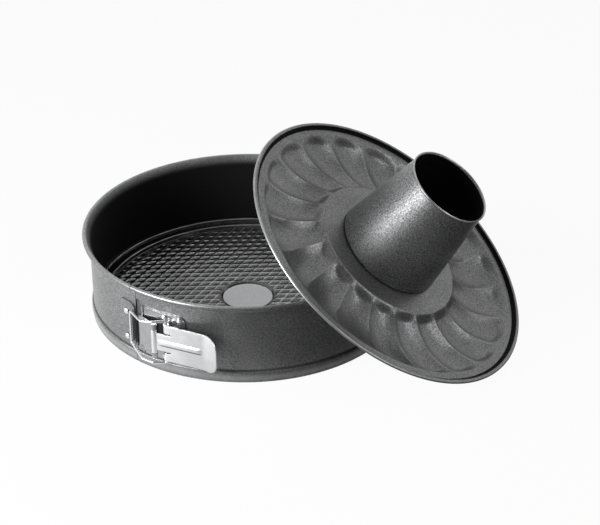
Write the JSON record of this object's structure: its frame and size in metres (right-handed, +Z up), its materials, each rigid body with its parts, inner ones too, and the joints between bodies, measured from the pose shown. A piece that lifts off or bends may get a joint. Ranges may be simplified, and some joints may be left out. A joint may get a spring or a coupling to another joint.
{
  "type": "springform cake tin",
  "caption": "Round springform cake tin with a clip-closed side ring on a flat waffle base and a spare fluted base with a centre tube leaning on the rim.",
  "frame": {"origin": "centre of the flat base's underside, on the table", "axes": "+Z up along the ring's axis, -Y towards the viewer, +X to the picture's right, where the tube base leans"},
  "size_m": [0.3601, 0.3184, 0.1616],
  "materials": {
    "ring_coating": "dark grey non-stick coating, satin, fine speckle",
    "base_coating": "dark grey non-stick coating over a waffle floor",
    "plate_coating": "grey non-stick coating, satin",
    "tube_coating": "dark grey non-stick coating, satin with a soft sheen",
    "bright_steel": "bright plated sheet steel",
    "wire_steel": "bright drawn wire",
    "rivet_steel": "bright turned steel"
  },
  "bodies": {
    "base": {"flat_base": "base_coating"},
    "ring": {"side_band": "ring_coating", "keeper_bracket": "ring_coating", "keeper_rivet_upper": "rivet_steel", "keeper_rivet_lower": "rivet_steel", "lever_bracket": "bright_steel", "bracket_rivet_upper_1": "rivet_steel", "bracket_rivet_lower_1": "rivet_steel", "bracket_rivet_upper_2": "rivet_steel", "bracket_rivet_lower_2": "rivet_steel", "hinge_pin": "rivet_steel"},
    "lever": {"latch_lever": "bright_steel"},
    "bail": {"wire_bail": "wire_steel"},
    "tube_base": {"fluted_plate": "plate_coating", "centre_tube": "tube_coating"}
  },
  "joints": [
    {"name": "ring_lift", "type": "slide", "parent": "base", "child": "ring", "axis": [0, 0, 1], "range_m": [0, 0.08]},
    {"name": "lever_turn", "type": "hinge", "parent": "ring", "child": "lever", "pos_m": [-0.07342, -0.11685, 0.031], "axis": [0, 0, -1], "range_deg": [0, 130]},
    {"name": "bail_turn", "type": "hinge", "parent": "lever", "child": "bail", "pos_m": [-0.06361, -0.11924, 0.031], "axis": [0, 0, -1], "range_deg": [-117, 0]},
    {"name": "tube_base_lift", "type": "slide", "parent": "ring", "child": "tube_base", "axis": [0, 0, 1], "range_m": [0, 0.15]}
  ],
  "couplings": [
    {"joint": "bail_turn", "follows": "lever_turn", "ratio": -0.9}
  ]
}
